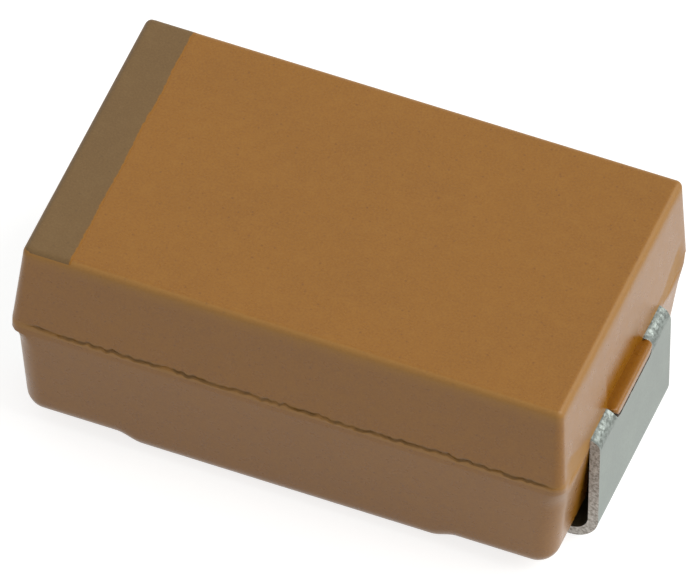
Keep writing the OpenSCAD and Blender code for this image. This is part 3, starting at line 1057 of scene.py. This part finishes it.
def matt_tin():
    """Electroplated matt tin: satin grey-green, with bright facets and cracks where it is bent."""
    material, tree = new_material("matt_tin_plating")
    point = object_point(tree)
    height = add_node(tree, "ShaderNodeSeparateXYZ", inputs={0: point}).outputs["Z"]
    crazed = stretch(tree, height, (sill_z - 0.01) * MM, (sill_z + 0.07) * MM)
    cloud = noise_texture(tree, point, 0.45, 3.0).outputs["Fac"]
    fine = noise_texture(tree, point, 0.03, 2.0).outputs["Fac"]
    cracks = noise_texture(tree, point, 0.045, 3.0, 0.7).outputs["Fac"]
    colour = mix_colour(tree, stretch(tree, cloud, 0.3, 0.7), linear("#8C938E"), linear("#9AA19B"))
    colour = mix_colour(tree, stretch(tree, fine, 0.35, 0.7, 0.0, 0.35), colour, linear("#828883"))
    dark = times(tree, stretch(tree, cracks, 0.56, 0.42, 0.0, 0.8), crazed)
    colour = mix_colour(tree, dark, colour, linear("#6A6F6A"))
    rough = add_node(tree, "ShaderNodeMath", {"operation": "SUBTRACT"}, {
        0: stretch(tree, cloud, 0.3, 0.7, 0.44, 0.52), 1: times(tree, crazed, 0.06)}).outputs[0]
    finish_material(tree, add_node(tree, "ShaderNodeBsdfPrincipled", inputs={
        "Base Color": colour, "Metallic": 1.0, "Roughness": rough,
        "Normal": matt_grain(tree, point, 0.0012)}).outputs[0])
    return material


tinned = matt_tin()
print("sheet:", tinned.name)

# %% [markdown]
# ## The sheared edge
#
# The press cut the strip after it was plated, so its edges are bare copper alloy under a smear
# of tin: duller and warmer than the faces, and torn by the blade. The rim faces of the sheet
# take this material as a second slot, which keeps the terminal one piece.

# %% Sheared edge material
def sheared_metal():
    """The edge that the press cut: bare copper alloy, dull, torn across by the blade."""
    material, tree = new_material("sheared_copper_alloy_edge")
    point = object_point(tree)
    torn = noise_texture(tree, point, 0.035, 3.0, 0.65).outputs["Fac"]
    colour = mix_colour(tree, stretch(tree, torn, 0.35, 0.65), linear("#7E7870"),
                        linear("#B9B4AD"))
    finish_material(tree, add_node(tree, "ShaderNodeBsdfPrincipled", inputs={
        "Base Color": colour, "Metallic": 1.0, "Roughness": 0.5,
        "Normal": relief(tree, torn, 0.004)}).outputs[0])
    return material


sheared = sheared_metal()
print("edges:", sheared.name)

# %% Both terminals
edge_break_mm = 0.011
paddle_half, paddle_end_x, finger_half = 0.9, 3.05, 0.5
terminals = {
    "cathode_terminal": terminal_sheet(
        "cathode_sheet", cathode_path, paddle_half, paddle_end_x, turned=False, seed=2.3),
    "anode_terminal": terminal_sheet(
        "anode_sheet", anode_path, finger_half, finger_end_x, turned=True, seed=7.9),
}
for node, sheet in terminals.items():
    bevel = sheet.modifiers.new("broken_edges", "BEVEL")
    bevel.width = edge_break_mm * MM
    bevel.segments = 2
    bevel.limit_method = "ANGLE"
    bevel.angle_limit = math.radians(60)
    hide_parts(node)
    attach(sheet, "root")
    print(node, len(sheet.data.polygons), "faces")

# %% [markdown]
# ## What the resin hides
#
# Inside is a pellet of sintered tantalum on a drawn wire, coated in turn with manganese dioxide,
# graphite and silver paint, and held to the cathode's paddle by silver-loaded adhesive. These
# keep their CAD meshes, and each gets the finish of its own process, so that a cut-away view
# still reads. Powder metal is pitted, pyrolysed oxide is black and rough, graphite is dull.

# %% Finishes of the inner pieces
def powder_finish(name, base, shade, size_mm, roughness, metallic, height_mm, ior=1.45):
    """A grainy finish: two shades mixed by noise, with relief of the same grain. A metal keeps
    the shader's own IOR."""
    material, tree = new_material(name)
    point = object_point(tree)
    grain = noise_texture(tree, point, size_mm, 4.0, 0.65).outputs["Fac"]
    colour = mix_colour(tree, stretch(tree, grain, 0.35, 0.65), linear(base), linear(shade))
    values = {"Base Color": colour, "Metallic": metallic,
              "Normal": relief(tree, grain, height_mm),
              "Roughness": stretch(tree, grain, 0.3, 0.7, roughness - 0.06, roughness + 0.06)}
    if not metallic:
        values["IOR"] = ior
    finish_material(tree, add_node(tree, "ShaderNodeBsdfPrincipled", inputs=values).outputs[0])
    return material


def drawn_wire():
    """Tantalum wire pulled through a die: fine marks along X."""
    material, tree = new_material("drawn_tantalum_wire")
    point = object_point(tree)
    along = add_node(tree, "ShaderNodeMapping", inputs={
        "Vector": point, "Scale": (0.06, 1.0, 1.0)}).outputs[0]
    marks = noise_texture(tree, along, 0.02, 3.0).outputs["Fac"]
    colour = mix_colour(tree, marks, linear("#80858B"), linear("#9A9FA5"))
    finish_material(tree, add_node(tree, "ShaderNodeBsdfPrincipled", inputs={
        "Base Color": colour, "Metallic": 1.0, "Roughness": 0.35,
        "Normal": relief(tree, marks, 0.001)}).outputs[0])
    return material


wire_finish = drawn_wire()
print("wire:", wire_finish.name)

# %% Give the inner pieces their finishes
inner_finishes = {
    "tantalum_pellet": powder_finish(
        "sintered_tantalum", "#5A5D63", "#3E4045", size_mm=0.04, roughness=0.62, metallic=1.0,
        height_mm=0.006),
    "riser_wire": wire_finish,
    "insulating_washer": powder_finish(
        "white_ptfe", "#EFEFEA", "#E4E4DE", size_mm=0.10, roughness=0.48, metallic=0.0,
        height_mm=0.002, ior=1.38),
    "manganese_dioxide_coat": powder_finish(
        "manganese_dioxide", "#1E1D1E", "#2C2A29", size_mm=0.05, roughness=0.82, metallic=0.0,
        height_mm=0.008, ior=1.6),
    "graphite_coat": powder_finish(
        "graphite_paint", "#333335", "#26272A", size_mm=0.06, roughness=0.55, metallic=0.0,
        height_mm=0.003, ior=1.8),
    "silver_coat": powder_finish(
        "silver_paint", "#C9C8C2", "#B4B3AD", size_mm=0.05, roughness=0.50, metallic=1.0,
        height_mm=0.003),
    "silver_adhesive": powder_finish(
        "silver_adhesive", "#B2B1AC", "#9A9994", size_mm=0.07, roughness=0.55, metallic=1.0,
        height_mm=0.005),
}
for node, finish in inner_finishes.items():
    nodes[node].data.materials.clear()
    nodes[node].data.materials.append(finish)
print("inner finishes:", len(inner_finishes))

# %% [markdown]
# ## Floor and light
#
# The part stands on a plain white floor in a plain white room. Both are brighter to the camera
# and in reflections than they are as lamps, which keeps the background white without flooding
# the part, and the floor still takes the part's shadow. One broad soft lamp stands overhead to
# the right, so the top is brightest, the right-hand end is next and the front is in open shade.

# %% White floor
floor_half = 1.5
floor_glow = 0.78
floor_z = -0.002 * MM  # a hair below the feet, so that the two don't flicker through each other
white = linear("#FFFFFF")


def rays_that_see(tree):
    """1 for rays from the camera or out of a reflection, which show the backdrop; else 0."""
    rays = add_node(tree, "ShaderNodeLightPath")
    seen = rays.outputs["Is Camera Ray"]
    for kind in ("Is Glossy Ray", "Is Transmission Ray"):
        seen = add_node(tree, "ShaderNodeMath", {"operation": "MAXIMUM"},
                        {0: seen, 1: rays.outputs[kind]}).outputs[0]
    return seen


def white_floor():
    """Matt white board that glows a little to the rays that see it."""
    material, tree = new_material("white_floor")
    glow = add_node(tree, "ShaderNodeEmission", inputs={"Color": white, "Strength": floor_glow})
    matt = add_node(tree, "ShaderNodeBsdfDiffuse", inputs={"Color": linear("#B8B8B6")})
    both = add_node(tree, "ShaderNodeAddShader", inputs={0: matt.outputs[0], 1: glow.outputs[0]})
    mixed = add_node(tree, "ShaderNodeMixShader", inputs={
        0: rays_that_see(tree), 1: matt.outputs[0], 2: both.outputs[0]})
    finish_material(tree, mixed.outputs[0])
    return material


def plain_quad(name, half, z, material):
    """A level square."""
    mesh = bpy.data.meshes.new(name)
    mesh.from_pydata([(-half, -half, z), (half, -half, z), (half, half, z), (-half, half, z)],
                     [], [(0, 1, 2, 3)])
    mesh.materials.append(material)
    piece = bpy.data.objects.new(name, mesh)
    bpy.context.scene.collection.objects.link(piece)
    return piece


floor = plain_quad("floor", floor_half, floor_z, white_floor())
print("floor:", 2 * floor_half, "m wide")

# %% World and lamp
sky_level, backdrop_level = 0.48, 0.9


def plain_world():
    """An even sky as a lamp, and a white backdrop to the rays that see it."""
    world = bpy.data.worlds.new("plain_studio")
    world.use_nodes = True
    tree = world.node_tree
    tree.nodes.clear()
    sky, backdrop = [add_node(tree, "ShaderNodeBackground",
                              inputs={"Color": white, "Strength": level}).outputs[0]
                     for level in (sky_level, backdrop_level)]
    mixed = add_node(tree, "ShaderNodeMixShader", inputs={
        0: rays_that_see(tree), 1: sky, 2: backdrop})
    add_node(tree, "ShaderNodeOutputWorld", inputs={"Surface": mixed.outputs[0]})
    bpy.context.scene.world = world


def soft_lamp(name, place, aim, size, watts):
    """A round soft lamp, placed and sized in metres, that points at aim."""
    lamp = bpy.data.lights.new(name, "AREA")
    lamp.shape = "DISK"
    lamp.size = size
    lamp.energy = watts
    holder = bpy.data.objects.new(name, lamp)
    holder.location = place
    holder.rotation_euler = (Vector(aim) - Vector(place)).to_track_quat("-Z", "Y").to_euler()
    bpy.context.scene.collection.objects.link(holder)


plain_world()
soft_lamp("overhead_softbox", (0.38, 0.12, 0.40), (0, 0, 0), 0.55, 2.25)
print("sky", sky_level, "backdrop", backdrop_level)

# %% [markdown]
# ## Camera
#
# A long lens from the front, a little to the right and well above, so the block keeps nearly
# parallel edges. The picture is turned a few degrees, which makes the long edges run downhill.

# %% Place the camera
camera_place = Vector((64.888, -191.778, 223.134)) * MM
camera_aim = Vector((0.0132, -0.0446, parting_z)) * MM
camera_roll = math.radians(3.136)

lens = bpy.data.cameras.new("long_lens")
lens.lens = 1301.16
lens.sensor_width = 36.0
lens.clip_start = 0.01
lens.clip_end = 10.0
camera = bpy.data.objects.new("camera", lens)
toward = (camera_aim - camera_place).to_track_quat("-Z", "Y").to_matrix()
camera.matrix_world = Matrix.Translation(camera_place) @ (
    toward @ Matrix.Rotation(camera_roll, 3, "Z")).to_4x4()
bpy.context.scene.collection.objects.link(camera)
bpy.context.scene.camera = camera
bpy.context.scene.view_settings.view_transform = "Standard"
print("camera", round((camera_aim - camera_place).length / MM), "mm from the part")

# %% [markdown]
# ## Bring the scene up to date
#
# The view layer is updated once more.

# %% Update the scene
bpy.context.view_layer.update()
